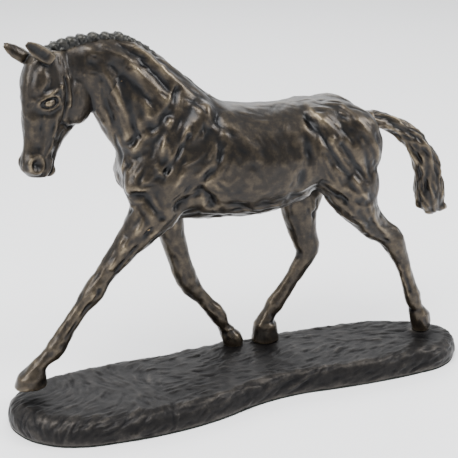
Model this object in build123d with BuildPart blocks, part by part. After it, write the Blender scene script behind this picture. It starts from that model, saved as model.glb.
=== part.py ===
from build123d import *
import os
from math import cos, radians, sin

os.makedirs("parts", exist_ok=True)

# A bronze trotting horse on an earth-like base. Millimetres, +Z up.
# The horse faces -X, and its near (left) side faces -Y.
# The origin is under the middle of the base, on the surface that it stands on.

# ---- driving dimensions ----
MID_Y = 17.8  # the horse's own middle plane
BASE_MID_Y = -5.2  # the base's middle, so that the whole piece is centred on Y
FELT = 1.0  # felt sheet under the base
FELT_INSET = 1.5
BASE_TOP = 20.0
HALF_LENGTH = 192.0
HALF_WIDTH = 51.0
BASE_WALL = 5.0
WALL = 4.5  # wall of the hollow castings
SLEEVE_GAP = 0.05  # radial clearance of a sleeve joint
SLEEVE_DEPTH = 9.0
SOCKET_FLOOR = 0.5  # room under the end of a sleeve
PIN_R = 1.4
PIN_GAP = 0.02
PIN_SHORT = 1.5  # how far each pin end lies under the skin
PIN_BORE_REACH = 40.0  # half length of the bores for the neck and head pins
SLEEVE_SHARE = 0.55  # sleeve radius as a share of the limb's smaller half size
NECK_SLEEVE_R = 17.0
NECK_BORE_R = 12.0
HEAD_SLEEVE_R = 9.0
HEAD_BORE_R = 5.5
STUD_R = 2.0
STUD_IN_HOOF = 8.0
STUD_TIP_GAP = 0.5
STUD_GAP = 0.2  # radial clearance through the base and the washer
STUD_BELOW = 10.0  # stud length under the base's inner roof, boss included
WASHER_R = 4.5
WASHER_T = 1.0
NUT_FLATS = 7.0
NUT_T = 3.2
PAD_R = 9.5  # earth pad under each standing hoof
BOSS_R = 8.0
BOSS_T = 3.0
HEAD_BORE_REACH = 22.0  # half length of the bore through the head's sleeve
PLAIT_R = 2.7  # smaller than half their pitch, so that each knot stays separate
PLAIT_COUNT = 10
CREST = [(-140, MID_Y - 6, 289), (-122, MID_Y - 3, 293), (-105, MID_Y - 1, 294.4), (-88, MID_Y, 292.5)]

# ---- sections: x, y from the middle plane, z, half depth, half width ----
TORSO = [
    (-88, 0, 181, 13, 15),
    (-81, 0, 184, 27, 24),
    (-68, 0, 189, 39, 29),
    (-52, 0, 194, 48, 32),
    (-35, 0, 199, 52, 34),
    (-15, 0, 192, 47, 36),
    (5, 0, 188, 45, 38),
    (25, 0, 189, 43, 38),
    (45, 0, 192, 41, 37),
    (65, 0, 196, 38, 36),
    (85, 0, 197, 31, 33),
    (100, 0, 196, 24, 27),
    (108.5, 0, 191, 12, 18),
]
NECK = [
    (-30, 0, 184, 46, 33),
    (-42, 0, 197, 49, 32),
    (-53, 0, 212, 46, 29),
    (-64, 0, 229.5, 38.5, 24.5),
    (-80, 0, 249, 35.5, 19.5),
    (-94, 0, 263, 31.5, 15.5),
    (-107, -1, 268, 25.5, 13),
    (-121, -3, 270, 20, 11.5),
    (-133, -7, 271, 13, 9),
]
NECK_JOINT = 3
HEAD_JOINT = 5
NEAR_FORE = [
    (-60, -16, 176, 24, 14),
    (-70, -19, 163, 20, 13),
    (-81, -18, 148, 15, 12),
    (-92, -16, 135, 11.4, 9.8),
    (-107, -15, 118, 8.2, 7.4),
    (-116, -15, 106, 8, 7.8),
    (-123, -15, 96, 8, 7.2),
    (-135, -15, 81, 6.5, 5),
    (-147, -15, 63, 7, 5.6),
    (-153, -15, 54, 7.2, 6.2),
    (-165, -15, 44, 6.8, 6.6),
]
OFF_FORE = [
    (-56, 15, 172, 16, 12),
    (-54, 15, 150, 14, 11),
    (-49, 15, 126, 10.5, 9),
    (-44, 15, 105, 9.2, 7.8),
    (-38, 15, 85, 9, 7.6),
    (-29, 15, 71, 6.8, 5.6),
    (-20, 15, 60, 6.4, 5),
    (-12, 15, 49, 7.4, 6.2),
    (-5, 15, 37, 5.8, 5.8),
]
OFF_HIND = [
    (64, 15, 186, 25, 15),
    (62, 15, 162, 23, 14),
    (60, 15, 139, 17.8, 13),
    (62, 15, 121, 13.4, 9.5),
    (67, 15, 102, 11.5, 7.6),
    (65, 15, 90, 8.6, 7.2),
    (55, 15, 74, 6.9, 5.3),
    (43.5, 15, 57, 7.4, 5.8),
    (38, 15, 50, 7.6, 6.4),
    (31, 15, 39, 7, 6.6),
]
NEAR_HIND = [
    (80, -18, 186, 26, 15),
    (88, -22, 162, 22, 14),
    (101, -20, 140, 13, 11),
    (114, -17, 125, 11.2, 8.8),
    (127, -15, 114, 10.6, 7.8),
    (134, -15, 104, 9.6, 7.6),
    (141, -15, 90, 7, 5.8),
    (149, -15, 68, 6, 5.4),
    (153.5, -15, 55, 7.2, 6.4),
    (158, -15, 43, 6, 6),
]
TAIL = [
    (96, 0, 209, 9, 8),
    (104, 0, 212, 8, 7),
    (115, 0, 211, 7.3, 6.5),
    (131, 0, 206, 7, 6.5),
    (148, 0, 195, 7.2, 7),
    (161, 0, 178, 11, 8),
    (168, 0, 160, 12, 8.5),
    (171, 0, 142, 14, 8.5),
    (175, 0, 126, 12, 6),
]
LIMB_JOINT = 2  # the section where each leg and the tail meet the torso

# hoof: coronet end is the leg's last section; then x, z, half depth, half width going down
NEAR_FORE_HOOF = [(-172, 35, 11, 9), (-173, 28, 10.5, 9.5)]
OFF_FORE_HOOF = [(-1, 28, 8.5, 8), (1.5, 21, 7.5, 7.5)]
OFF_HIND_HOOF = [(30.5, 32, 9.3, 9), (30.5, 20, 11, 10)]
NEAR_HIND_HOOF = [(162.5, 36, 9.3, 9), (163, 23, 8, 8)]

# head: distance down the face from the poll, front and back reach, half width
HEAD = [
    (-4, 10, -14, 10),
    (8, 17, -24, 13),
    (20, 19, -31, 15.5),
    (32, 19, -34, 16),
    (43, 18, -32, 14.5),
    (53, 16.5, -25, 12),
    (63, 15.5, -17, 9.8),
    (75, 16, -12, 9),
    (82, 16, -11, 9.4),
    (87, 10, -8, 7),
]
POLL = (-140.5, MID_Y - 8, 284)
HEAD_TURN = 30  # degrees towards the near side
HEAD_TILT = 10  # degrees that the nose stands ahead of the poll
EAR_OUT = 11.0
EAR_AHEAD = 7.5
EAR_REACH = (16.5, 12.5)  # level and rise, from root to tip
EAR_ROOT_R = 5.0
EAR_TIP_R = 0.9
EAR_BURIED = 0.35  # share of the ear's length that runs into the skull

# base outline at its foot, anticlockwise from the middle of its hollow near side
BASE_OUTLINE = [
    (0, -33),
    (36, -28),
    (72, -29.5),
    (108, -30),
    (145, -28),
    (168, -24),
    (184, -13),
    (192, 4),
    (184, 22),
    (166, 35),
    (140, 44),
    (110, 49),
    (75, 51),
    (35, 50.5),
    (-8, 49),
    (-45, 46),
    (-80, 43),
    (-115, 41),
    (-150, 38),
    (-174, 31),
    (-187, 19),
    (-192, 4),
    (-186, -18),
    (-170, -36),
    (-147, -47),
    (-112, -51),
    (-70, -50),
    (-35, -44),
]
OUTLINE_HEADING = (0.97, 0.24)  # the outline's direction where it starts and ends

# the base's bank: height, and how far the outline has drawn in there
BASE_BANK = [(FELT, 0.0), (9.0, 0.3), (14.5, 2.2), (18.2, 5.5), (BASE_TOP, 10.5)]

# hooves that stand on the base: name, x, y, height of the earth pad under each
FEET = {
    "off_fore": (1.0, MID_Y + 15, 21.0),
    "off_hind": (30.5, MID_Y + 15, 20.6),
    "near_hind": (163.0, MID_Y - 12, 23.0),
}


def planes_along(stations):
    """One plane across the casting at each section, square to the line between its neighbours."""
    places = [Vector(x, MID_Y + y, z) for x, y, z, _, _ in stations]
    planes = []
    for i, place in enumerate(places):
        along = places[min(i + 1, len(places) - 1)] - places[max(i - 1, 0)]
        planes.append(Plane(place, x_dir=Vector(0, 1, 0).cross(along), z_dir=along))
    return planes


def ellipse_on(plane, deep, wide):
    """A flat elliptical section."""
    with BuildSketch(plane) as section:
        Ellipse(deep, wide)
    return section.sketch


def rings(stations, first=0, last=None, wall=0.0):
    """The sections from first to last, drawn inwards by a wall."""
    planes = planes_along(stations)
    last = len(stations) - 1 if last is None else last
    return [
        ellipse_on(planes[i], stations[i][3] - wall, stations[i][4] - wall)
        for i in range(first, last + 1)
    ]


def outline_on(height, inset=0.0):
    """The base's outline on a level plane, drawn in by about the inset all round."""
    shrink_x = 1 - inset / HALF_LENGTH
    shrink_y = 1 - inset / HALF_WIDTH
    outline = BASE_OUTLINE + BASE_OUTLINE[:1]
    places = [(x * shrink_x, BASE_MID_Y + y * shrink_y) for x, y in outline]
    with BuildSketch(Plane.XY.offset(height)) as section:
        with BuildLine():
            Spline(*places, tangents=[OUTLINE_HEADING] * 2, tangent_scalars=[1, 1])
        make_face()
    return section.sketch


def disc_on(plane, radius):
    """A round section, for sleeves, sockets and bores."""
    with BuildSketch(plane) as disc:
        Circle(radius)
    return disc.sketch


def hoof_rings(leg, hoof):
    """From the coronet down to the sole, on level planes below it."""
    side = MID_Y + leg[-1][1]
    sections = [rings(leg, len(leg) - 1)[0]]
    for x, z, deep, wide in hoof:
        sections.append(ellipse_on(Plane((x, side, z)), deep, wide))
    return sections


def joint_plane(stations, index):
    return planes_along(stations)[index]


def pin_plane(stations, index):
    """The cross pin's plane: its axis runs across the limb, half-way up the sleeve."""
    joint = joint_plane(stations, index)
    centre = joint.origin - joint.z_dir * SLEEVE_DEPTH / 2
    return Plane(centre, x_dir=(1, 0, 0), z_dir=(0, 1, 0))


def sleeve_radius(stations, index):
    return SLEEVE_SHARE * min(stations[index][3], stations[index][4])


# ---- base ----
with BuildPart() as base_plinth:
    loft(sections=[outline_on(height, inset) for height, inset in BASE_BANK])
    for x, y, pad in FEET.values():
        with BuildSketch(Plane((x, y, BASE_TOP - BASE_WALL))):
            Circle(PAD_R + 2)
        with BuildSketch(Plane((x, y, pad))):
            Circle(PAD_R)
        loft()
    extrude(outline_on(FELT, BASE_WALL), amount=BASE_TOP - BASE_WALL - FELT, mode=Mode.SUBTRACT)
    for x, y, pad in FEET.values():
        with BuildSketch(Plane((x, y, BASE_TOP - BASE_WALL - BOSS_T))):
            Circle(BOSS_R)
        extrude(amount=BOSS_T + 1)
        with BuildSketch(Plane((x, y, 0))):
            Circle(STUD_R + STUD_GAP)
        extrude(amount=BASE_TOP + 6, mode=Mode.SUBTRACT)

with BuildPart() as base_felt:
    extrude(outline_on(0, FELT_INSET), amount=FELT)

# ---- torso ----
NECK_SEAM = joint_plane(NECK, NECK_JOINT)
LIMBS = {
    "near_fore": NEAR_FORE,
    "off_fore": OFF_FORE,
    "off_hind": OFF_HIND,
    "near_hind": NEAR_HIND,
    "tail": TAIL,
}

with BuildPart() as torso_core:
    loft(sections=rings(TORSO, 3, 10, WALL))
    split(bisect_by=NECK_SEAM.offset(-SLEEVE_DEPTH - WALL), keep=Keep.BOTTOM)

with BuildPart() as torso:
    loft(sections=rings(TORSO))
    loft(sections=rings(NECK, 0, NECK_JOINT))
    for limb in LIMBS.values():
        loft(sections=rings(limb, 0, LIMB_JOINT))
    split(bisect_by=NECK_SEAM, keep=Keep.BOTTOM)
    tail_cut = disc_on(joint_plane(TAIL, LIMB_JOINT), 2 * TAIL[LIMB_JOINT][3])
    extrude(tail_cut, amount=WALL, mode=Mode.SUBTRACT)
    add(torso_core.part, mode=Mode.SUBTRACT)
    neck_socket = disc_on(NECK_SEAM, NECK_SLEEVE_R + SLEEVE_GAP)
    extrude(neck_socket, amount=-SLEEVE_DEPTH - SOCKET_FLOOR, mode=Mode.SUBTRACT)
    extrude(disc_on(NECK_SEAM, NECK_BORE_R), amount=-SLEEVE_DEPTH - 2 * WALL, mode=Mode.SUBTRACT)
    neck_bore = disc_on(pin_plane(NECK, NECK_JOINT), PIN_R + PIN_GAP)
    extrude(neck_bore, amount=PIN_BORE_REACH, both=True, mode=Mode.SUBTRACT)
    for limb in LIMBS.values():
        socket = disc_on(joint_plane(limb, LIMB_JOINT), sleeve_radius(limb, LIMB_JOINT) + SLEEVE_GAP)
        extrude(socket, amount=-SLEEVE_DEPTH - SOCKET_FLOOR, mode=Mode.SUBTRACT)
        bore = disc_on(pin_plane(limb, LIMB_JOINT), PIN_R + PIN_GAP)
        extrude(bore, amount=limb[LIMB_JOINT][4] + 2, both=True, mode=Mode.SUBTRACT)

# ---- neck ----
HEAD_SEAM = joint_plane(NECK, HEAD_JOINT)

with BuildPart() as neck:
    loft(sections=rings(NECK, NECK_JOINT, HEAD_JOINT))
    split(bisect_by=HEAD_SEAM, keep=Keep.BOTTOM)
    loft(sections=rings(NECK, NECK_JOINT, HEAD_JOINT - 1, 2 * WALL), mode=Mode.SUBTRACT)
    extrude(disc_on(NECK_SEAM, NECK_SLEEVE_R), amount=-SLEEVE_DEPTH)
    extrude(disc_on(NECK_SEAM, NECK_BORE_R), amount=SLEEVE_DEPTH, both=True, mode=Mode.SUBTRACT)
    neck_bore = disc_on(pin_plane(NECK, NECK_JOINT), PIN_R + PIN_GAP)
    extrude(neck_bore, amount=PIN_BORE_REACH, both=True, mode=Mode.SUBTRACT)
    socket = disc_on(HEAD_SEAM, HEAD_SLEEVE_R + SLEEVE_GAP)
    extrude(socket, amount=-SLEEVE_DEPTH - SOCKET_FLOOR, mode=Mode.SUBTRACT)
    extrude(disc_on(HEAD_SEAM, HEAD_BORE_R), amount=-3 * SLEEVE_DEPTH, mode=Mode.SUBTRACT)
    head_bore = disc_on(pin_plane(NECK, HEAD_JOINT), PIN_R + PIN_GAP)
    extrude(head_bore, amount=PIN_BORE_REACH, both=True, mode=Mode.SUBTRACT)

# ---- head, with the upper neck and the ears ----
TURN = radians(HEAD_TURN)
TILT = radians(HEAD_TILT)
LEVEL = Vector(-cos(TURN), -sin(TURN), 0)
FACE = LEVEL * cos(TILT) + Vector(0, 0, sin(TILT))
DOWN = LEVEL * sin(TILT) - Vector(0, 0, cos(TILT))
NEAR_CHEEK = Vector(sin(TURN), -cos(TURN), 0)


def head_point(down, face, side):
    """A place on the head, from the poll: down the face, ahead of it, towards the near cheek."""
    return Vector(*POLL) + DOWN * down + FACE * face + NEAR_CHEEK * side


def head_rings():
    """The head's sections, from the poll to the chin."""
    sections = []
    for down, front, back, wide in HEAD:
        plane = Plane(head_point(down, (front + back) / 2, 0), x_dir=FACE, z_dir=DOWN)
        sections.append(ellipse_on(plane, (front - back) / 2, wide))
    return sections


def ear_rings(side, root_down, inward):
    """A pricked ear: a round root inside the skull and a small round tip."""
    root = head_point(root_down, EAR_AHEAD, side * EAR_OUT)
    reach = LEVEL * EAR_REACH[0] + Vector(0, 0, EAR_REACH[1]) - NEAR_CHEEK * inward
    return [
        disc_on(Plane(root - reach * EAR_BURIED, z_dir=reach), EAR_ROOT_R),
        disc_on(Plane(root + reach, z_dir=reach), EAR_TIP_R),
    ]


with BuildPart() as head_skin:
    loft(sections=head_rings())
    loft(sections=ear_rings(1, 2, 1.5), ruled=True)
    loft(sections=ear_rings(-1, 6, 5), ruled=True)
    loft(sections=rings(NECK, HEAD_JOINT, len(NECK) - 1), ruled=True)
    split(bisect_by=HEAD_SEAM, keep=Keep.TOP)

with BuildPart() as head:
    extrude(disc_on(HEAD_SEAM, HEAD_SLEEVE_R), amount=-SLEEVE_DEPTH)
    head_bore = disc_on(pin_plane(NECK, HEAD_JOINT), PIN_R + PIN_GAP)
    extrude(head_bore, amount=PIN_BORE_REACH, both=True, mode=Mode.SUBTRACT)
    add(head_skin.part)
    extrude(disc_on(HEAD_SEAM, HEAD_BORE_R), amount=HEAD_BORE_REACH, both=True, mode=Mode.SUBTRACT)

# ---- plaits along the crest, each a knot bedded on the neck and the head ----
with BuildLine() as crest:
    Spline(*CREST)

knots = []
for i in range(PLAIT_COUNT):
    with BuildPart() as knot:
        with Locations(crest.edge() @ (i / (PLAIT_COUNT - 1))):
            Sphere(PLAIT_R)
        add(neck.part, mode=Mode.SUBTRACT)
        add(head.part, mode=Mode.SUBTRACT)
    knots.append(knot.part.solids().sort_by(Axis.Z)[-1])

with BuildPart() as mane_plaits:
    add(knots)

# ---- legs and tail ----
def sleeve_joint(limb):
    """The round sleeve on a limb's upper end, with its cross-pin bore."""
    seam = joint_plane(limb, LIMB_JOINT)
    extrude(disc_on(seam, sleeve_radius(limb, LIMB_JOINT)), amount=-SLEEVE_DEPTH)
    bore = disc_on(pin_plane(limb, LIMB_JOINT), PIN_R + PIN_GAP)
    extrude(bore, amount=limb[LIMB_JOINT][4] + 2, both=True, mode=Mode.SUBTRACT)


def stud_bore(foot):
    """The threaded hole up into a standing hoof, with the sole cut level on its pad."""
    x, y, pad = FEET[foot]
    split(bisect_by=Plane.XY.offset(pad), keep=Keep.TOP)
    extrude(disc_on(Plane((x, y, pad)), STUD_R + PIN_GAP), amount=STUD_IN_HOOF, mode=Mode.SUBTRACT)


with BuildPart() as near_foreleg:
    loft(sections=rings(NEAR_FORE, LIMB_JOINT))
    loft(sections=hoof_rings(NEAR_FORE, NEAR_FORE_HOOF))
    sleeve_joint(NEAR_FORE)

with BuildPart() as off_foreleg:
    loft(sections=rings(OFF_FORE, LIMB_JOINT))
    loft(sections=hoof_rings(OFF_FORE, OFF_FORE_HOOF))
    sleeve_joint(OFF_FORE)
    stud_bore("off_fore")

with BuildPart() as off_hind_leg:
    loft(sections=rings(OFF_HIND, LIMB_JOINT))
    loft(sections=hoof_rings(OFF_HIND, OFF_HIND_HOOF))
    sleeve_joint(OFF_HIND)
    stud_bore("off_hind")

with BuildPart() as near_hind_leg:
    loft(sections=rings(NEAR_HIND, LIMB_JOINT))
    loft(sections=hoof_rings(NEAR_HIND, NEAR_HIND_HOOF))
    sleeve_joint(NEAR_HIND)
    stud_bore("near_hind")

with BuildPart() as tail:
    loft(sections=rings(TAIL, LIMB_JOINT))
    split(bisect_by=joint_plane(TAIL, LIMB_JOINT), keep=Keep.TOP)
    sleeve_joint(TAIL)

pieces = {
    "base_plinth": base_plinth,
    "base_felt": base_felt,
    "torso": torso,
    "neck": neck,
    "head": head,
    "mane_plaits": mane_plaits,
    "near_foreleg": near_foreleg,
    "off_foreleg": off_foreleg,
    "off_hind_leg": off_hind_leg,
    "near_hind_leg": near_hind_leg,
    "tail": tail,
}

# ---- cross pins: one through each sleeve joint ----
PINNED = {f"{name}_pin": (stations, LIMB_JOINT) for name, stations in LIMBS.items()}
PINNED["neck_pin"] = (NECK, NECK_JOINT)
PINNED["head_pin"] = (NECK, HEAD_JOINT)

for name, (stations, index) in PINNED.items():
    with BuildPart() as pin:
        reach = stations[index][4] - PIN_SHORT
        extrude(disc_on(pin_plane(stations, index), PIN_R), amount=reach, both=True)
    pieces[name] = pin

# ---- studs, washers and nuts that hold the three standing hooves ----
ROOF = BASE_TOP - BASE_WALL - BOSS_T
STUD_FOOT = ROOF - STUD_BELOW + BOSS_T
for foot, (x, y, pad) in FEET.items():
    with BuildPart() as stud:
        length = pad + STUD_IN_HOOF - STUD_TIP_GAP - STUD_FOOT
        extrude(disc_on(Plane((x, y, STUD_FOOT)), STUD_R), amount=length)
    with BuildPart() as washer:
        with BuildSketch(Plane((x, y, ROOF - WASHER_T))):
            Circle(WASHER_R)
            Circle(STUD_R + STUD_GAP / 2, mode=Mode.SUBTRACT)
        extrude(amount=WASHER_T)
    with BuildPart() as nut:
        with BuildSketch(Plane((x, y, ROOF - WASHER_T - NUT_T))):
            RegularPolygon(NUT_FLATS / 2, 6, major_radius=False)
            Circle(STUD_R + PIN_GAP, mode=Mode.SUBTRACT)
        extrude(amount=NUT_T)
    pieces[f"{foot}_stud"] = stud
    pieces[f"{foot}_washer"] = washer
    pieces[f"{foot}_nut"] = nut

for name, piece in pieces.items():
    piece.part.label = name
    export_step(piece.part, f"parts/{name}.step")
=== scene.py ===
"""The looks of a cast bronze horse at an extended trot, on an earth base."""

import math
from functools import partial

import bpy
import numpy as np
from mathutils import Matrix, Vector, noise


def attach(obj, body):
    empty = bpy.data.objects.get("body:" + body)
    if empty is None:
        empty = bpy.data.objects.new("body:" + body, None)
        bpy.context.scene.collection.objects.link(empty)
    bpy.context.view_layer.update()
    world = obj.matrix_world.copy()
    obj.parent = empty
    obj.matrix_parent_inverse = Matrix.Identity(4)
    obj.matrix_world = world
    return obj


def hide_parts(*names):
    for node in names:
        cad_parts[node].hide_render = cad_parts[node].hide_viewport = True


bl_info = {
    "name": "Bronze trotting horse",
    "version": (1, 0, 0),
    "blender": (4, 5, 0),
    "location": "View3D > Sidebar > Statuette",
    "description": "Models the castings of a bronze trotting horse and their patina around the fixed frame",
    "category": "Object",
}

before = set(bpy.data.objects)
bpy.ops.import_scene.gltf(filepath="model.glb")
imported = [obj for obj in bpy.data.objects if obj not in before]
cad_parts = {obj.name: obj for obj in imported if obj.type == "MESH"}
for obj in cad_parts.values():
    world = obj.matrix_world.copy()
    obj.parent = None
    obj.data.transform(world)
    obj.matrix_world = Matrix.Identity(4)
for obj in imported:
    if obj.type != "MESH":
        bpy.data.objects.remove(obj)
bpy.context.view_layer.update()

MM = 0.001
MID_Y = 17.8  # the horse's own middle plane, in mm
BASE_MID_Y = -5.2  # the base's own middle, in mm
RING_VERTS = 28  # round each section of a limb
CORONET_SHARE = 0.96  # a hoof starts this much slimmer than the leg ends

# ---- the horse's masses, in mm: x, y from the middle plane, z, half depth, half width ----
BARREL = [
    (-88, 0, 180, 14, 15), (-82, 0, 183, 26, 23), (-68, 0, 189, 38, 29), (-52, 0, 193, 46, 32),
    (-33, 0, 193, 48, 34.5), (-12, 0, 190, 46, 37), (8, 0, 188, 45, 38.5), (27, 0, 189, 43.5, 38),
    (45, 0, 192, 41, 36.5), (64, 0, 197, 37.5, 35.5), (82, 0, 197, 33, 33), (96, 0, 196, 26, 28),
    (106, 0, 193, 16, 20),
]
NECK = [
    (-26, 0, 186, 46, 32), (-40, 0, 198, 49, 31), (-52, 0, 212, 46, 28),
    (-64, 0, 229.5, 38.5, 23.5), (-80, 0, 249, 35.5, 18.5), (-94, 0, 262, 31, 15),
    (-107, -1, 267.5, 25.5, 12.5), (-121, -3, 269.5, 20, 11), (-134, -7, 271, 14, 9),
]
NEAR_FORE = [
    (-58, -14, 184, 24, 14), (-70, -19, 163, 20, 13), (-81, -18, 148, 14.5, 12),
    (-86, -17, 141.5, 12.8, 10.6), (-93, -16, 134.5, 11, 9.4), (-100, -15.5, 125.6, 9.4, 8.4),
    (-107, -15, 117.5, 8.1, 7.2), (-112, -15, 111.2, 7.4, 6.8), (-116, -15, 106, 8.1, 7.7),
    (-119.6, -15, 100.4, 8.6, 8), (-123.4, -15, 95.5, 8, 7.2), (-129, -15, 88.9, 6.6, 5.4),
    (-134.8, -15, 81.3, 6.3, 4.8), (-142, -15, 71.6, 6.4, 4.8), (-147.5, -15, 63.2, 7, 5.6),
    (-151.4, -15, 57, 7.8, 6.6), (-155, -15, 52.4, 7.2, 6.2), (-160.5, -15, 48.6, 5.8, 5.6),
    (-165, -15, 44.4, 6.6, 6.6),
]
OFF_FORE = [
    (-54, 14, 176, 18, 13), (-53, 15, 150, 14, 11), (-49.2, 15, 126.5, 10.4, 9),
    (-46.7, 15, 116.6, 9.9, 8.4), (-43.7, 15, 104.7, 9.3, 7.8), (-41, 15, 94.2, 9, 7.8),
    (-37.6, 15, 85.4, 9.2, 7.8), (-33.6, 15, 77.6, 8.4, 6.8), (-29.2, 15, 71.4, 6.8, 5.4),
    (-24.5, 15, 66, 6.2, 4.8), (-19.9, 15, 60, 6.4, 5), (-14.3, 15, 53, 7.4, 6.2),
    (-10, 15, 46, 7, 6.2), (-7.4, 15, 39.5, 5.2, 5.4), (-5, 15, 34.5, 5.8, 6),
]
OFF_HIND = [
    (64, 14, 190, 25, 15), (62, 15, 162, 23, 14), (60, 15, 139.5, 17.6, 13),
    (60.2, 15, 131.7, 15.2, 11), (61.8, 15, 120.8, 13.2, 9.4), (64.4, 15, 111, 11.6, 8),
    (67.4, 15, 102, 11.2, 7.6), (67.4, 15, 95.5, 10, 7.6), (64.8, 15, 89.5, 8.4, 7),
    (60.6, 15, 82.7, 7.4, 6), (55.4, 15, 74.2, 6.9, 5.1), (49.7, 15, 65.3, 6.8, 5),
    (43.6, 15, 57, 7.4, 5.8), (39, 15, 50.9, 8, 6.8), (34.8, 15, 44.3, 6.3, 5.8),
    (31.4, 15, 39, 6.8, 6.6),
]
NEAR_HIND = [
    (78, -16, 190, 26, 15), (88, -20, 164, 23, 14.5), (95, -21, 149, 18, 13),
    (101, -20, 139.5, 14, 11.5), (107.5, -18, 131, 12.3, 9.8), (114, -17, 124.2, 11.2, 8.8),
    (120.6, -16, 119, 10.2, 7.8), (127, -15, 114.6, 10.2, 7.6), (132.2, -15, 108.2, 10.2, 7.8),
    (136.2, -15, 99.7, 8.4, 7.2), (140.8, -15, 90.4, 6.9, 5.6), (145.2, -15, 78.3, 5.8, 5),
    (149.2, -15, 66, 5.9, 5.1), (153, -15, 56.2, 7.4, 6.4), (154.6, -15, 50.4, 6.8, 6),
    (157, -15, 44.6, 6, 5.8),
]
TAIL = [
    (94, 0, 208, 9, 9), (104, 0, 211.5, 8.4, 8), (114, 0, 210.5, 7.4, 6.6), (122, 0, 209.2, 7, 6.4),
    (131, 0, 206, 7, 6.4), (140, 0, 201, 6.9, 6.6), (148, 0, 195, 7.2, 7),
    (154.5, 0, 188, 8.6, 7.4), (161, 0, 178.6, 10.8, 8), (165, 0, 170, 11.4, 8.4),
    (168, 0, 161, 11.6, 8.4), (169.5, 0, 152, 12.6, 8.6), (170.5, 0, 143, 13.6, 8.6),
    (173, 0, 134, 13, 7.6), (177, 0, 127, 8, 5),
]

# hooves: y from the middle plane, then from the coronet down on level planes: x, z, half depth, half width
HOOVES = {
    "near_fore": (-15, [(-169, 41, 9, 8.2), (-171.5, 37, 11.4, 9.6), (-173, 27.3, 13, 10.6)]),
    "off_fore": (15, [(-4, 36, 6.8, 6.8), (-1, 30, 9.2, 8.4), (1.4, 24, 9.2, 8.6), (2, 19.5, 8, 8)]),
    "off_hind": (15, [(31, 40, 7.6, 7.2), (30.6, 35.5, 9.8, 9.2), (30.5, 19.5, 12.2, 11)]),
    "near_hind": (
        -14,
        [(158.6, 43, 7, 6.6), (161.5, 37, 9.4, 8.4), (163, 29, 9.2, 8.2), (163.6, 22, 7.5, 7.5)],
    ),
}

# rounded masses: x, y from the middle plane, z, three half sizes, tilt in degrees in side elevation
SIDE_MASSES = [
    (90, 17, 197, 26, 17, 31, -8),  # buttock
    (92, 21, 166, 21, 14, 26, -18),  # back of the thigh
    (72, 22, 178, 17, 14, 30, -30),  # stifle and front of the thigh
    (62, 16.5, 215, 15, 14, 15, 0),  # point of the hip
    (80, 10, 219, 22, 12, 14, 12),  # croup
    (-76, 15, 186, 17, 15, 22, 20),  # point of the shoulder and breast
    (-52, 22, 192, 16, 13, 34, 38),  # triceps
    (-41, 18, 219, 11, 13, 28, 32),  # shoulder blade
    (-58, 17, 214, 12, 13, 26, 40),  # front of the shoulder blade
]

# sections of the head: mm down the face from the poll, front, back, half width
HEAD = [
    (-3, 10, -13, 10), (7, 17, -24, 13), (16, 19.2, -30, 15), (25, 19.6, -34, 16),
    (34, 19, -36, 16), (43, 17.8, -34, 14.2), (52, 16.3, -26.5, 11.8), (61, 15.3, -18.5, 9.6),
    (70, 15.3, -13.5, 8.4), (77, 16.2, -11.4, 8.8), (83, 15.6, -10.4, 9), (88, 9.5, -6.5, 6),
]
# the head's own directions, from the poll: turned towards the near side, with the nose tucked in
POLL = Vector((-140.5, MID_Y - 8, 284))
HEAD_TURN = math.radians(30)
HEAD_TILT = math.radians(10)
LEVEL = Vector((-math.cos(HEAD_TURN), -math.sin(HEAD_TURN), 0))
FACE = LEVEL * math.cos(HEAD_TILT) + Vector((0, 0, math.sin(HEAD_TILT)))
DOWN = LEVEL * math.sin(HEAD_TILT) - Vector((0, 0, math.cos(HEAD_TILT)))
CHEEK = Vector((math.sin(HEAD_TURN), -math.cos(HEAD_TURN), 0))

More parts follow.
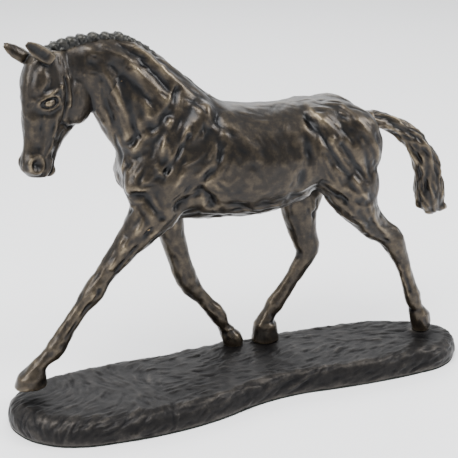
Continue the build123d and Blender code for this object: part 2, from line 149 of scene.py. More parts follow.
# modelling strokes in side elevation, in mm: points (x, z), height (below 0 cuts a groove), half width
STROKES = [
    ([(-106, 262), (-99, 236), (-93, 215), (-91, 200)], -1.8, 3.4),  # jugular groove
    ([(-102, 274), (-95, 255), (-90, 239), (-87, 214)], 1.9, 3.0),
    ([(-92, 264), (-87, 253), (-84, 239), (-83, 222)], -1.4, 2.6),
    ([(-80, 268), (-75, 253), (-73, 236)], 1.5, 3.0),
    ([(-131, 284), (-106, 285), (-87, 278), (-73, 266), (-60, 249)], 1.7, 4.0),  # nuchal band
    ([(-112, 277), (-97, 272), (-84, 262), (-72, 247)], -1.5, 3.4),
    ([(-90, 286), (-75, 276), (-64, 264), (-56, 253)], -1.5, 2.6),
    ([(-81, 288), (-63, 270), (-46, 257), (-34, 247), (-26, 235), (-19, 220)], 1.7, 3.4),  # trapezius
    ([(-50, 252), (-56, 239), (-66, 231), (-79, 223), (-87, 215)], -2.4, 3.0),  # ahead of the shoulder
    ([(-58, 232), (-63, 216), (-69, 200)], 1.8, 2.2),  # spine of the shoulder blade
    ([(-42, 230), (-52, 212), (-67, 195)], 1.7, 2.4),
    ([(-46, 221), (-55, 207), (-64, 196)], -2.6, 1.8),
    ([(-75, 225), (-83, 212), (-91, 200), (-95, 186)], 1.8, 2.8),  # breast edge
    ([(-88, 192), (-92, 180)], 1.4, 5.0),
    ([(-22, 228), (-21, 208), (-27, 197), (-38, 184)], -2.2, 3.0),  # behind the triceps
    ([(-56, 165), (-46, 172), (-36, 179), (-28, 173), (-28, 164)], -3.0, 3.2),  # elbow
    ([(-31, 172), (-18, 162), (8, 160), (30, 160)], -1.6, 4.0),  # girth
    ([(-88, 178), (-79, 179), (-68, 160)], -2.2, 2.8),
    ([(-14, 221), (-1, 208), (8, 192)], 1.0, 6.0),
    ([(51, 222), (47, 202), (46, 188), (40, 176)], -2.4, 4.5),  # flank
    ([(55, 227), (70, 216)], 1.6, 4.0),
    ([(52, 224), (61, 209), (72, 191), (82, 178)], -2.2, 2.8),  # line of the thigh
    ([(66, 206), (76, 189), (90, 168), (97, 158)], 2.0, 2.8),
    ([(75, 203), (86, 186), (96, 170)], -1.4, 2.2),
    ([(82, 228), (96, 217), (106, 196), (108, 176)], 1.4, 3.4),  # buttock edge
    ([(84, 214), (95, 200), (100, 180), (101, 160)], -1.6, 3.0),
    ([(62, 183), (72, 170), (90, 160)], 1.4, 3.0),  # stifle
    ([(58, 172), (68, 164), (80, 156)], -1.6, 2.6),
    ([(36, 162), (54, 166), (66, 158)], -2.5, 4.0),  # groin
]
# strokes on the outer side of the near legs and on the near side of the others
LEG_STROKES = [
    ([(-82, 157), (-96, 137), (-107, 121)], 1.4, 2.0),  # forearm
    ([(-76, 152), (-90, 134), (-103, 117)], -1.6, 1.8),
    ([(-116, 104), (-130, 86), (-144, 67)], -1.2, 1.4),
    ([(-120, 101), (-134, 83), (-148, 64)], 1.0, 1.4),
    ([(100, 150), (113, 128), (128, 115)], 1.5, 2.0),
    ([(92, 146), (106, 127), (122, 112)], -1.6, 2.2),
    ([(133, 101), (141, 84), (148, 63)], -1.0, 1.4),
    ([(-58, 140), (-50, 118), (-44, 98)], -1.5, 1.8),
    ([(-51, 140), (-46, 118), (-41, 98)], 1.3, 1.6),
    ([(-33, 75), (-22, 62), (-14, 53)], -1.1, 1.3),
    ([(56, 142), (60, 122), (67, 103)], 1.5, 1.8),
    ([(63, 142), (66, 122), (70, 106)], -1.5, 1.8),
    ([(60, 80), (50, 66), (40, 52)], -1.2, 1.4),
]

LEGS = {"near_fore": NEAR_FORE, "off_fore": OFF_FORE, "off_hind": OFF_HIND, "near_hind": NEAR_HIND}

# the stations at which the castings meet: a limb's own stations, and which of them the seam crosses
SEAMS = {
    "near_foreleg": (NEAR_FORE, 2),
    "off_foreleg": (OFF_FORE, 2),
    "off_hind_leg": (OFF_HIND, 2),
    "near_hind_leg": (NEAR_HIND, 3),
    "tail": (TAIL, 2),
}
NECK_SEAM = (NECK, 3)
HEAD_SEAM = (NECK, 5)

# locks at the tail's end: x, z, half sizes, tilt
TAIL_TIPS = [(181, 128.5, 8, 5.5, 5, 22), (162.5, 140, 5, 5, 11, -12), (173, 129, 8, 5.5, 7, 0)]

# rounded masses of the head: down, ahead and out from its middle, half sizes ahead, across and down, tilt
HEAD_MASSES = [
    (21, 7.5, 6.0, 9.5, 7.5, 17, 0),  # forehead
    (32.5, 6.0, 11.4, 4.6, 3.4, 3.6, 0),  # eyeball
    (30, -21.5, 9.4, 16, 8, 20, 0),  # cheek
    (77.5, 8.5, 4.6, 7, 4.8, 6.8, 0),  # nostril
    (83, -5.5, 2.6, 6, 5, 5, 0),  # lips
]
HEAD_STROKES = [
    ([(31, 15), (27.5, 9.5), (24.5, 4), (21, -1.5)], 1.9, 1.7),  # brow
    ([(21, -1.5), (26, -3), (33, -3.5)], 1.0, 1.3),
    ([(12, 9), (18, 7), (24, 10)], -0.9, 1.8),
    ([(38, 11), (45, 9), (54, 8), (64, 8)], -1.1, 2.6),  # beside the nose bone
    ([(46, 14.5), (56, 14), (70, 13)], 0.8, 1.5),
    ([(40, -1), (48, -2), (56, -1)], 1.2, 1.8),  # facial crest
    ([(58, -3), (66, -1), (72, 2)], 0.7, 1.5),
    ([(15, -5), (22, -6.5), (31, -7.5), (40, -6.5), (47, -7)], -1.5, 1.2),  # front of the cheek
    ([(47, -7), (51, -14), (50, -22)], -1.2, 1.4),
    ([(16, -8), (24, -9.5), (34, -10)], 0.8, 1.6),
    ([(54, -10), (64, -7), (72, -5)], -0.8, 1.8),
    ([(75, -6.5), (81, -5.5), (88, -3.5)], -1.9, 0.9),  # mouth
    ([(75, -3.5), (81, -2.5), (86, 0)], 0.6, 1.2),
]

# the ears: which side of the head, mm down from the poll, lean inwards
EARS = {1: (2, 1.5), -1: (6, 5)}
EAR_ROOT_AHEAD = 7.5
EAR_ROOT_OUT = 11
EAR_REACH = (16.5, 12.5)  # forwards and up
EAR_HALF_WIDTH = 5.0
EAR_OUTLINE = [(0, 0.9), (0.2, 1.0), (0.4, 1.08), (0.6, 1.02), (0.8, 0.78), (0.92, 0.52), (1.0, 0.3)]
EAR_TIP = 0.2  # the plain cone that an ear is pressed from narrows to this

# the eye and the nostril: down and ahead of the poll, half length, half height
EYE = (32.5, 5.8, 4.6, 2.9)
EYE_SLANT = (0.37, 0.93)
SOCKET = (8.5, 6.5)
NOSTRIL = (77.5, 9.5, 4.4, 3.8)

# the plaits run along CREST: x, y from the middle plane, z. Then the roll of hair, with its half width
KNOTS = 8
CREST = [
    (-141, -6, 285.6), (-131, -4.5, 289.2), (-120, -3, 291.4), (-105, -1, 292.6), (-88, 0, 291.2),
]
CREST_HAIR = [
    (-88, 0, 290.8, 3.8), (-79, 0, 288.2, 3.6), (-69, 0, 282.0, 3.4), (-59, 0, 273.6, 3.2),
    (-48, 0, 262.6, 3.0), (-37, 0, 252.0, 2.8), (-26, 0, 244.6, 2.5), (-16, 0, 238.6, 2.0),
]

# the base: its outline from its own middle, and its bank as heights and how far each is drawn in
HALF_LENGTH = 192.0
HALF_WIDTH = 51.0
BASE_OUTLINE = [
    (0, -33), (36, -28), (72, -29.5), (108, -30), (145, -28), (168, -24), (184, -13), (192, 4),
    (184, 22), (166, 35), (140, 44), (110, 49), (75, 51), (35, 50.5), (-8, 49), (-45, 46),
    (-80, 43), (-115, 41), (-150, 38), (-174, 31), (-187, 19), (-192, 4), (-186, -18), (-170, -36),
    (-147, -47), (-112, -51), (-70, -50), (-35, -44),
]
BASE_BANK = [(1.0, 0.8), (4.0, 0.0), (9.0, 0.3), (14.5, 2.2), (18.2, 5.5), (20.0, 10.5)]
FELT_EDGE = [(0, 1.5), (1, 1.5)]
# the earth under each standing hoof: x, y from the middle plane, top, and the half sizes of the mound
PADS = [(1, 15, 21), (30.5, 15, 20.6), (163, -12, 23)]
PAD_SIZES = (12, 11, 3.4)

# short marks of the modelling tool: how many, and the ranges of length, half width and height
SKIN_MARKS = (1700, (4, 14), (0.8, 2.2), (0.2, 0.62))
HAIR_MARKS = (420, (14, 34), (0.7, 1.5), (0.3, 0.8))
HEAD_MARKS = (420, (2, 5.5), (0.5, 1.2), (0.08, 0.28))
PLAIT_MARKS = (420, (2, 4.5), (0.4, 0.8), (0.2, 0.55))
EARTH_MARKS = (1500, (4, 13), (0.7, 1.3), (0.2, 0.6))

# soft lumps of the clay: size and seed
BODY_LUMPS = (16, 1)
SKIN_LUMPS = (6, 2)
EARTH_LUMPS = ((26, 4), (9, 5), (4, 6))

# soft lights: name, place in m, size in m, power in W
LIGHTS = [
    ("sky_panel", (-0.4, -0.5, 1.4), (1.0, 0.7), 26),
    ("left_panel", (-1.4, -0.5, 0.8), (0.6, 0.8), 17),
    ("right_panel", (1.2, -0.5, 0.9), (0.6, 0.8), 22),
    ("back_panel", (0.3, 1.4, 1.2), (1.6, 0.8), 14),
]
LIGHTS_AIM = (0, 0, 0.15)
CAMERA_PLACE = (-0.2405, -0.7172, 0.443)
# yaw, pitch and roll
CAMERA_TURN = (math.radians(-17.7), math.radians(22), math.radians(-0.4))
CAMERA_LENS = 82.14


def linear(hex_colour):
    """An sRGB hex colour as the linear values that a shader takes."""
    parts = [int(hex_colour[i : i + 2], 16) / 255 for i in (1, 3, 5)]
    return [c / 12.92 if c <= 0.04045 else ((c + 0.055) / 1.055) ** 2.4 for c in parts] + [1.0]


def place_of(x, y, z):
    """A place in m, from mm with y counted from the horse's middle plane."""
    return (x * MM, (MID_Y + y) * MM, z * MM)


# ---- selecting and editing ----
def deselect():
    if bpy.context.object and bpy.context.object.mode != "OBJECT":
        bpy.ops.object.mode_set(mode="OBJECT")
    bpy.ops.object.select_all(action="DESELECT")


def only(piece):
    """Makes one object the selected and active one."""
    deselect()
    piece.select_set(True)
    bpy.context.view_layer.objects.active = piece


def add(operator, name, **settings):
    """Adds one object, with nothing else selected."""
    deselect()
    operator(**settings)
    bpy.context.object.name = name
    return bpy.context.object


def edit_all(piece, *jobs):
    """Does edit-mode jobs one after another, each on the whole piece."""
    only(piece)
    bpy.ops.object.mode_set(mode="EDIT")
    for job in jobs:
        bpy.ops.mesh.select_all(action="SELECT")
        job()
    bpy.ops.object.mode_set(mode="OBJECT")


def close_ends():
    bpy.ops.mesh.fill_holes(sides=0)


def face_outwards():
    bpy.ops.mesh.normals_make_consistent(inside=False)


def join(pieces, name):
    deselect()
    for piece in pieces:
        piece.select_set(True)
    bpy.context.view_layer.objects.active = pieces[0]
    bpy.ops.object.join()
    joined = bpy.context.object
    joined.name = name
    return joined


# ---- laying up the clay ----
def path_tilts(stations):
    """The tilt in side elevation of a section square to its neighbours, for each station."""
    tilts = []
    for i in range(len(stations)):
        ahead = stations[min(i + 1, len(stations) - 1)]
        behind = stations[max(i - 1, 0)]
        tilts.append(math.atan2(ahead[0] - behind[0], ahead[2] - behind[2]))
    return tilts


def loft(name, rings):
    """A closed tube through a row of (place, tilt, turn, half depth, half width) sections."""
    tube = add(bpy.ops.object.add, name, type="MESH")
    bpy.ops.object.mode_set(mode="EDIT")
    for place, tilt, turn, deep, _ in rings:
        bpy.ops.mesh.primitive_circle_add(
            vertices=RING_VERTS, radius=deep * MM, location=place, rotation=(0, tilt, turn)
        )
    bpy.ops.object.mode_set(mode="OBJECT")
    # each round section is drawn in or out across the horse to its own half width
    for i, (place, _, turn, deep, wide) in enumerate(rings):
        across = Vector((-math.sin(turn), math.cos(turn), 0))
        for vertex in tube.data.vertices[i * RING_VERTS : (i + 1) * RING_VERTS]:
            out = (vertex.co - Vector(place)).dot(across)
            vertex.co += across * (out * (wide / deep - 1))
    edit_all(tube, bpy.ops.mesh.bridge_edge_loops, close_ends, face_outwards)
    return tube


def limb(name, stations):
    """A tube through side-elevation stations."""
    rings = [
        (place_of(x, y, z), tilt, 0, deep, wide)
        for (x, y, z, deep, wide), tilt in zip(stations, path_tilts(stations))
    ]
    return loft(name, rings)


def hoof(name, leg):
    """A hoof on level sections, starting from the leg's last section."""
    side, sections = HOOVES[name]
    *pastern, deep, wide = leg[-1]
    rings = [(place_of(*pastern), path_tilts(leg)[-1], 0, deep * CORONET_SHARE, wide * CORONET_SHARE)]
    rings += [(place_of(x, side, z), math.pi, 0, deep, wide) for x, z, deep, wide in sections]
    return loft(name + "_hoof", rings)


def ball(place, sizes, tilt=0.0, turn=0.0):
    """A rounded mass of clay."""
    sphere = {"segments": 20, "ring_count": 12, "radius": MM}
    pose = {"location": place, "rotation": (0, math.radians(tilt), turn), "scale": sizes}
    clay = add(bpy.ops.mesh.primitive_uv_sphere_add, "mass", **sphere, **pose)
    bpy.ops.object.transform_apply(location=True, rotation=True, scale=True)
    return clay


def head_place(down, face, side):
    """A place on the head: mm down the face from the poll, ahead of it, and towards the near cheek."""
    return (POLL + DOWN * down + FACE * face + CHEEK * side) * MM


def on_head(down, face, side, sizes, tilt):
    """A mass on the head; its sizes run ahead, sideways and down the face."""
    return ball(head_place(down, face, side), sizes, math.degrees(HEAD_TILT) + tilt, HEAD_TURN)


def head_tube():
    tilt = math.atan2(-math.sin(HEAD_TILT), -math.cos(HEAD_TILT))
    rings = []
    for down, front, back, wide in HEAD:
        place = head_place(down, (front + back) / 2, 0)
        rings.append((place, tilt, HEAD_TURN, (front - back) / 2, wide))
    return loft("head_core", rings)


def rub(piece, factor, rounds):
    """Rubs the clay smooth, after any modifier that is already on it."""
    smooth = piece.modifiers.new("rub", "SMOOTH")
    smooth.factor = factor
    smooth.iterations = rounds
    only(piece)
    for modifier in list(piece.modifiers):
        bpy.ops.object.modifier_apply(modifier=modifier.name)


def knead(piece, voxel, rounds):
    """Melts overlapping masses into one skin and rubs it smooth."""
    remesh = piece.modifiers.new("melt", "REMESH")
    remesh.mode = "VOXEL"
    remesh.voxel_size = voxel * MM
    remesh.use_smooth_shade = True
    rub(piece, 0.5, rounds)


# ---- sculpting on the kneaded clay ----
def read(items, key, width=3, kind=float):
    """One row of values for each item."""
    values = np.empty(len(items) * width, dtype=kind)
    items.foreach_get(key, values)
    return values.reshape(-1, width)


def read_skin(piece):
    """Places in mm, normals and edges of a piece."""
    mesh = piece.data
    edges = read(mesh.edges, "vertices", 2, np.int64)
    return read(mesh.vertices, "co") / MM, read(mesh.vertex_normals, "vector"), edges


def write_skin(piece, co):
    piece.data.vertices.foreach_set("co", (co * MM).ravel())
    piece.data.update()


def sculpt(piece, lift_of, *given):
    """Lifts each place of the skin along its normal, by what lift_of says."""
    co, normals, _ = read_skin(piece)
    write_skin(piece, co + normals * lift_of(co, normals, *given)[:, None])


def soften(values, edges, rounds):
    """Each value becomes the mean of its neighbours', round after round."""
    count = len(values)
    a, b = edges.T
    share = np.maximum(np.bincount(a, minlength=count) + np.bincount(b, minlength=count), 1)
    for _ in range(rounds):
        total = np.empty_like(values)
        for k in range(values.shape[1]):
            column = values[:, k]
            total[:, k] = np.bincount(a, column[b], count) + np.bincount(b, column[a], count)
        values = total / share[:, None]
    return values


def rise(values, low, high):
    """A smooth step from 0 at low to 1 at high."""
    t = np.clip((values - low) / (high - low), 0, 1)
    return t * t * (3 - 2 * t)


def fall(values, low, high):
    """A smooth step from 1 at low down to 0 at high."""
    return rise(-values, -high, -low)


def hump(values, width):
    """A smooth hump, 1 at 0."""
    return np.exp(-((values / width) ** 2))


def line_distance(points, line):
    """The distance of flat points from a polyline."""
    nearest = np.full(len(points), 1e9)
    for start, end in zip(line, line[1:]):
        start, end = np.array(start, float), np.array(end, float)
        along = end - start
        t = np.clip((points - start) @ along / (along @ along), 0, 1)
        gap = np.linalg.norm(points - start - t[:, None] * along, axis=1)
        nearest = np.minimum(nearest, gap)
    return nearest


def both_sides(out):
    """A mask that spares the middle line."""
    return rise(np.abs(out), 2, 8)


def carve(strokes, flat, mask, sideways):
    """The lift along the normal that a set of long modelling strokes gives.

    flat holds the places in the strokes' own view, mask how much each may be lifted, and
    sideways how far its normal points out of that view.
    """
    lift = np.zeros(len(flat))
    facing = np.clip(np.abs(sideways) * 1.8 + 0.1, 0, 1)
    for line, height, width in strokes:
        low = np.min(line, axis=0) - 3 * width
        high = np.max(line, axis=0) + 3 * width
        close = np.all((flat > low) & (flat < high), axis=1) & (mask > 0)
        gap = line_distance(flat[close], line)
        # a hand's pressure is never even
        waver = 0.78 + 0.45 * np.sin(flat[close][:, 0] * 0.31 + flat[close][:, 1] * 0.23 + height * 9)
        weight = hump(gap, 1.08 * width) * waver
        lift[close] += 0.95 * height * weight * mask[close] * facing[close]
    return lift


def tool_marks(co, normals, rng, heading, marks):
    """The lift from short strokes of a modelling tool, each along the form's own direction."""
    count, length, width, height = marks
    lift = np.zeros(len(co))
    for index in rng.integers(0, len(co), count):
        long = rng.uniform(*length)
        wide = rng.uniform(*width)
        deep = rng.uniform(*height) * (1 if rng.random() < 0.45 else -1)
        turn = rng.normal(0, 0.22)
        place, normal = co[index], normals[index]
        way = heading(place)
        way = way - normal * (way @ normal)
        size = np.linalg.norm(way)
        if size < 0.2:
            continue
        way = way / size
        square = np.cross(normal, way)
        along = way * math.cos(turn) + square * math.sin(turn)
        across = square * math.cos(turn) - way * math.sin(turn)
        away = co - place
        close = np.nonzero(np.abs(away @ along) < long * 1.2)[0]
        away = away[close]
        off = away @ across
        below = away @ normal
        t = (away @ along) / long
        weight = np.exp(-((off / wide) ** 2) - (below / (3 + wide)) ** 2 - (1.6 * t) ** 4)
        lift[close] += deep * weight
    return lift


def lumps(co, size, seed):
    """Soft lumps of about that size in mm, from -1 to 1."""
    shift = Vector((seed * 17.3, seed * 5.1, seed * 9.7))
    return np.array([noise.noise(Vector(place) / size + shift) for place in co])


def wear_and_painted_light(piece, contrast):
    """Stores how far each place stands out, for the worn high places and the dark hollows; its colour is
    real wear and patina, and also painted highlight and painted shade.
    """
    co, normals, edges = read_skin(piece)
    fine = np.einsum("ij,ij->i", co - soften(co, edges, 6), normals)
    broad = np.einsum("ij,ij->i", co - soften(co, edges, 60), normals)[:, None]
    broad = (broad - 0.8 * soften(broad, edges, 160))[:, 0]
    # raised forms take worn metal and painted highlight, hollows take dark patina and painted shade
    proud = contrast * (np.tanh(fine / 0.2) + np.tanh(broad / 1.3))
    proud = soften(proud[:, None], edges, 2)[:, 0]
    layer = piece.data.attributes.new("proud", "FLOAT", "POINT")
    layer.data.foreach_set("value", 0.5 + 0.5 * proud)
    skin = piece.data.attributes.new("skin_normal", "FLOAT_VECTOR", "POINT")
    skin.data.foreach_set("vector", normals.ravel())


def keep_normals(piece):
    """Shades a cut piece with the normals that the whole form had, so that seams stay fine lines."""
    mesh = piece.data
    normals = read(mesh.attributes["skin_normal"].data, "vector")
    mesh.shade_smooth()
    mesh.normals_split_custom_set_from_vertices(normals.tolist())
    mesh.attributes.remove(mesh.attributes["skin_normal"])


# ---- cutting the form into its castings ----
def station_place(station):
    return np.array(station[:3]) + (0, MID_Y, 0)


def seam_of(stations, index):
    """Place and direction of the seam across a casting at one of its sections, in mm."""
    along = np.array(stations[index + 1][:3]) - np.array(stations[index - 1][:3])
    return station_place(stations[index]), along / np.linalg.norm(along)


def cut(piece, seam, drop_before=False):
    """Cuts a loop of edges across the whole piece on a seam, and may drop what lies before it."""
    place, along = seam

    def bisect():
        bpy.ops.mesh.bisect(plane_co=place * MM, plane_no=along, use_fill=False, clear_inner=drop_before)

    edit_all(piece, bisect)


def beyond(points, seam):
    """Which points lie beyond a seam's plane."""
    place, along = seam
    return (points - place) @ along > 0


def corridor(points, stations, index):
    """Which points lie beyond a casting's seam and near its own line."""
    gap = np.full(len(points), 1e9)
    casting = stations[index:]
    for start, end in zip(casting, casting[1:]):
        a, b = station_place(start), station_place(end)
        t = np.clip((points - a) @ (b - a) / ((b - a) @ (b - a)), 0, 1)
        reach = 1.7 * max(*start[3:], *end[3:])
        gap = np.minimum(gap, np.linalg.norm(points - a - t[:, None] * (b - a), axis=1) / reach)
    return beyond(points, seam_of(stations, index)) & (gap < 1)


def past_neck(points, seam):
    """Which points of the neck lie beyond a seam; the planes also cross the rump and the legs."""
    return beyond(points, seam) & (points[:, 0] < -40) & (points[:, 2] > 190)


def split_off(piece, inside, name):
    """Separates the faces whose centres are inside into a new piece."""
    mesh = piece.data
    picked = inside(read(mesh.polygons, "center") / MM)
    only(piece)
    bpy.ops.object.mode_set(mode="EDIT")
    bpy.ops.mesh.select_all(action="DESELECT")
    bpy.ops.object.mode_set(mode="OBJECT")
    mesh.polygons.foreach_set("select", picked)
    bpy.ops.object.mode_set(mode="EDIT")
    bpy.ops.mesh.select_mode(type="FACE")
    bpy.ops.mesh.separate(type="SELECTED")
    bpy.ops.mesh.select_mode(type="VERT")
    bpy.ops.object.mode_set(mode="OBJECT")
    part = [o for o in bpy.context.selected_objects if o != piece][0]
    part.name = name
    return part


def finish_piece(piece, nodes, finish):
    """Places, shades and declares one piece."""
    only(piece)
    bpy.ops.object.transform_apply(location=True, rotation=True, scale=True)
    piece.data.materials.clear()
    piece.data.materials.append(bpy.data.materials[finish])
    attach(piece, "root")
    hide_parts(*nodes)


# ---- materials ----
def node(tree, kind, links=(), **settings):
    """Adds a node with its settings; links are (input, source socket) or (input, value)."""
    made = tree.nodes.new(kind)
    for key, value in settings.items():
        setattr(made, key, value)
    for key, value in links:
        if isinstance(value, bpy.types.NodeSocket):
            tree.links.new(value, made.inputs[key])
        else:
            made.inputs[key].default_value = value
    return made


def mottle(tree, cell, detail, roughness=0.5):
    """Noise from 0 to 1 over the object; its spots are about as far apart as cell, in m."""
    place = node(tree, "ShaderNodeTexCoord").outputs["Object"]
    links = [("Vector", place), ("Scale", 1 / cell), ("Detail", detail), ("Roughness", roughness)]
    return node(tree, "ShaderNodeTexNoise", links).outputs["Fac"]


def calc(tree, operation, *values):
    return node(tree, "ShaderNodeMath", enumerate(values), operation=operation).outputs[0]


def ramp(tree, factor, stops):
    """A colour scale; its colours are hex codes or linear values."""
    made = node(tree, "ShaderNodeValToRGB", [("Fac", factor)])
    scale = made.color_ramp
    while len(scale.elements) < len(stops):
        scale.elements.new(0.5)
    for element, (place, colour) in zip(scale.elements, stops):
        element.position = place
        element.color = linear(colour) if isinstance(colour, str) else (*colour, 1.0)
    return made.outputs["Color"]


def grain(tree, height, strength, depth):
    """The normal of a surface with fine grain that deep, in m."""
    links = [("Height", height), ("Strength", strength), ("Distance", depth)]
    return node(tree, "ShaderNodeBump", links).outputs["Normal"]


def blank(name):
    """The empty node tree of a new material."""
    material = bpy.data.materials.new(name)
    material.use_nodes = True
    material.node_tree.nodes.clear()
    return material.node_tree


def surface(tree, links):
    shader = node(tree, "ShaderNodeBsdfPrincipled", links)
    node(tree, "ShaderNodeOutputMaterial", [("Surface", shader.outputs["BSDF"])])


def bronze(name, stops, rough, coat=0.18):
    """Chemically darkened cast bronze, worn back to the metal on its high places and waxed.

    The eye sees blue-black hollows, partly real patina and partly painted shade, a brown
    film over the forms, and a soft golden-grey sheen where cloth and hands have worn it,
    which is also a painted highlight.
    """
    tree = blank(name)
    # patches where the patina took more or less strongly, about 14 mm across
    patches = calc(tree, "MULTIPLY_ADD", mottle(tree, 0.014, 6, 0.62), 0.34, -0.17)
    # the scratches of the rubbing cloth and brush, about 2 mm apart
    scratches = calc(tree, "MULTIPLY_ADD", mottle(tree, 0.0022, 5, 0.7), 0.3, -0.15)
    proud = node(tree, "ShaderNodeAttribute", attribute_name="proud").outputs["Fac"]
    # the colour follows how far each place stands out: dark patina and painted shade in the hollows, worn
    # metal and painted highlight on the high places
    level = calc(tree, "ADD", proud, calc(tree, "ADD", patches, scratches))
    # worn metal is glossier than the film in the hollows
    gloss = node(
        tree,
        "ShaderNodeMapRange",
        [("Value", level), ("From Min", 0.2), ("From Max", 0.9), ("To Min", rough[0]), ("To Max", rough[1])],
    )
    # sand-cast grain under the wax, about 1 mm apart
    pits = grain(tree, mottle(tree, 0.0012, 4, 0.6), 0.35, 0.00035)
    surface(
        tree,
        [
            ("Base Color", ramp(tree, level, stops)),
            ("Metallic", 0.82),
            ("Roughness", gloss.outputs["Result"]),
            ("Normal", pits),
            ("Coat Weight", coat),
            ("Coat Roughness", 0.28),
        ],
    )


def plain_material(name, colours, metallic, rough):
    """A turned metal or a felt, with fine marks between two tones."""
    tree = blank(name)
    # machining or fibre marks, about 1.5 mm apart
    marks = mottle(tree, 0.0016, 5)
    tint = ramp(tree, marks, [(0.3, colours[0]), (0.7, colours[1])])
    normal = grain(tree, marks, 0.4, 0.0003)
    surface(tree, [("Base Color", tint), ("Metallic", metallic), ("Roughness", rough), ("Normal", normal)])


# ---- the add-on's settings ----
def grain_setting(name, part, size):
    return bpy.props.FloatProperty(
        name=name, description=f"Size of the clay's cells on the {part}", default=size, unit="LENGTH"
    )


def colour_setting(name, description, hex_colour):
    return bpy.props.FloatVectorProperty(
        name=name, description=description, default=linear(hex_colour)[:3], size=3, subtype="COLOR"
    )


class StatuetteSettings(bpy.types.PropertyGroup):
    """Sizes and colours that a user may change."""

    body_grain: grain_setting("Body grain", "body", 0.00085)
    head_grain: grain_setting("Head grain", "head", 0.0005)
    base_grain: grain_setting("Base grain", "base", 0.0011)
    # the colour of the high places is worn metal and also painted highlight; the blue-black colour of the
    # hollows is dark patina and also painted shade
    rubbed_and_highlight: colour_setting("Rubbed bronze", "Colour of the body's rubbed high places", "#a4967c")
    film: colour_setting("Patina film", "Colour of the brown patina over the body's forms", "#40382d")
    hollow: colour_setting("Hollows", "Colour of the patina in the body's hollows", "#07070a")


class STATUETTE_OT_finishes(bpy.types.Operator):
    """Mixes the patinas, the metals and the felt"""

    bl_idname = "statuette.finishes"
    bl_label = "Finishes"

    def execute(self, context):
        settings = context.scene.statuette
        # each scale runs from real dark patina with painted shade in the hollows, through the patina film,
        # to worn metal with painted highlight on the high places
        brown = [
            (0.1, settings.hollow),
            (0.35, "#121213"),
            (0.52, "#241f1a"),
            (0.68, settings.film),
            (0.84, "#6e624f"),
            (1.0, settings.rubbed_and_highlight),
        ]
        green_brown = [(0.2, "#0d0e0f"), (0.5, "#1f1f1e"), (0.8, "#3a3833"), (1.0, "#605b50")]
        earth = [(0.15, "#070709"), (0.42, "#100f10"), (0.6, "#1d1b1a"), (0.78, "#3b3733"), (1.0, "#726a60")]
        bronze("cast_bronze_brown_patina", brown, (0.40, 0.30))
        bronze("cast_bronze_green_brown_patina", green_brown, (0.5, 0.38))
        bronze("cast_bronze_earth_patina", earth, (0.62, 0.42), coat=0.04)
        plain_material("turned_bronze_pin", ("#5a4a38", "#7c6a50"), 1.0, 0.4)
        plain_material("zinc_plated_steel", ("#8e9196", "#b3b6ba"), 1.0, 0.35)
        plain_material("pressed_wool_felt", ("#0f1410", "#1b211c"), 0.0, 0.95)
        return {"FINISHED"}


# ---- the way the forms run, which the tool follows ----
def flow_of(lines):
    """The middles and the headings of the straight stretches of lines in side elevation."""
    stretches = [np.array(pair, float) for line in lines for pair in zip(line, line[1:])]
    mids = np.array([(start + end) / 2 for start, end in stretches])
    ways = np.array([(end - start) / np.linalg.norm(end - start) for start, end in stretches])
    return mids, ways


def side_line(stations):
    return [(station[0], station[2]) for station in stations]


BODY_FLOW = flow_of(
    [stroke[0] for stroke in STROKES + LEG_STROKES] + [side_line(leg[2:]) for leg in LEGS.values()]
)
TAIL_FLOW = flow_of([side_line(TAIL)])


def nearest_way(flow, place):
    mids, ways = flow
    way = ways[np.argmin(np.sum((mids - place[[0, 2]]) ** 2, axis=1))]
    return np.array([way[0], 0, way[1]])


def head_heading(place):
    """Down the face; on the neck, as on the body."""
    return nearest_way(BODY_FLOW, place) if place[0] > -112 else np.array(DOWN)


def mane_heading(place):
    """The hair of each knot is wound across the crest and a little along it."""
    turn = 0.7 * math.sin(place[0] * 0.8)
    return np.array([math.sin(turn) * 0.8, 0.6, math.cos(turn)])


def earth_heading(place):
    """Grass-like strokes fan out over the front end; the middle and back are combed lengthways."""
    x, y = place[0], place[1] - BASE_MID_Y
    if x < -70:
        turn = 1.15 + 0.9 * math.sin(x * 0.045 + y * 0.05)
    else:
        turn = 0.15 + 0.35 * math.sin(x * 0.03 + y * 0.06)
    return np.array([math.cos(turn), math.sin(turn), 0.25])


# ---- the body ----
def lay_up_body():
    """The overlapping masses of the trunk, neck, legs and tail."""
    clay = [limb("barrel", BARREL), limb("neck_clay", NECK)]
    for name, stations in LEGS.items():
        clay += [limb(name + "_clay", stations), hoof(name, stations)]
    clay.append(limb("dock_clay", TAIL))
    for x, z, *sizes, tilt in TAIL_TIPS:
        clay.append(ball(place_of(x, 0, z), sizes, tilt))
    for x, y, z, *sizes, tilt in SIDE_MASSES:
        for side in (-1, 1):
            clay.append(ball(place_of(x, side * y, z), sizes, tilt))
    return join(clay, "body_clay")


def melt_trunk(body):
    """Rubs the trunk's masses into each other, and leaves the limbs and the tail crisp."""
    co, _, edges = read_skin(body)
    trunk = rise(co[:, 2], 148, 166)[:, None] * fall(co[:, 0], 108, 118)[:, None]
    write_skin(body, co + (soften(co, edges, 45) - co) * trunk)


def muscle_lift(co, normals):
    """The long strokes of the muscles, and the soft lumps of hand-pressed clay."""
    side_view, out = co[:, [0, 2]], MID_Y - co[:, 1]
    lift = carve(STROKES, side_view, both_sides(out), normals[:, 1])
    lift += carve(LEG_STROKES, side_view, rise(out, 0, 3), normals[:, 1])
    legs = fall(co[:, 2], 135, 150)
    lift += lumps(co, *BODY_LUMPS) * 0.7 * (1 - 0.6 * legs)
    lift += lumps(co, *SKIN_LUMPS) * 0.28
    return lift


